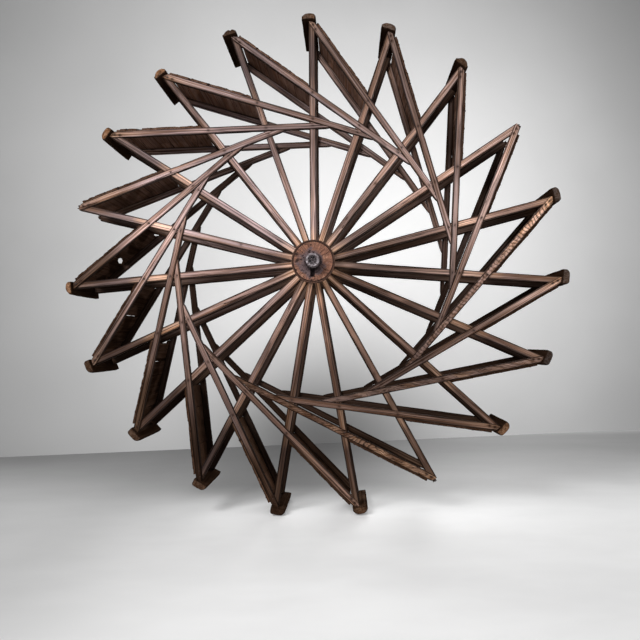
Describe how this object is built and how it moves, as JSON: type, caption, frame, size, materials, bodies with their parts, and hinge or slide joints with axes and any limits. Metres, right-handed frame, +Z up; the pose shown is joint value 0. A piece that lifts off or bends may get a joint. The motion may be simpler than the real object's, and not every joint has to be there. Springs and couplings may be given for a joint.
{
  "type": "water wheel",
  "caption": "Foot-driven wooden paddle wheel: spokes and oblique bars from a mortised hub carry paddle boards and treads, with an iron gudgeon at each end.",
  "frame": {"origin": "on the floor, at the middle of the bottom of the wheel's box, under the axle", "axes": "+Z up, +Y along the axle and away from the front, +X to the right as seen from the front"},
  "size_m": [1.5512, 0.38, 1.546],
  "materials": {
    "hub_wood": "rust-stained end grain",
    "spoke_wood": "weathered, oiled brown",
    "bar_wood": "weathered, pinkish brown",
    "board_wood": "water-blackened",
    "tread_wood": "dark, foot-worn",
    "iron": "rusted"
  },
  "bodies": {
    "root": {"hub": "hub_wood", "front_hub_hoop": "iron", "rear_hub_hoop": "iron", "front_gudgeon": "iron", "rear_gudgeon": "iron", "front_spokes": "spoke_wood", "rear_spokes": "spoke_wood", "front_paddle_bars": "bar_wood", "rear_paddle_bars": "bar_wood", "paddle_01": "board_wood", "paddle_02": "board_wood", "paddle_03": "board_wood", "paddle_04": "board_wood", "paddle_05": "board_wood", "paddle_06": "board_wood", "paddle_07": "board_wood", "paddle_08": "board_wood", "paddle_09": "board_wood", "paddle_10": "board_wood", "paddle_11": "board_wood", "paddle_12": "board_wood", "paddle_13": "board_wood", "paddle_14": "board_wood", "paddle_15": "board_wood", "paddle_16": "board_wood", "paddle_17": "board_wood", "paddle_18": "board_wood", "paddle_19": "board_wood", "tread_01": "tread_wood", "tread_02": "tread_wood", "tread_03": "tread_wood", "tread_05": "tread_wood", "tread_06": "tread_wood", "tread_07": "tread_wood", "tread_08": "tread_wood", "tread_10": "tread_wood", "tread_11": "tread_wood", "tread_12": "tread_wood", "tread_13": "tread_wood", "tread_14": "tread_wood", "tread_15": "tread_wood", "tread_17": "tread_wood", "tread_18": "tread_wood", "tread_19": "tread_wood"}
  },
  "joints": []
}
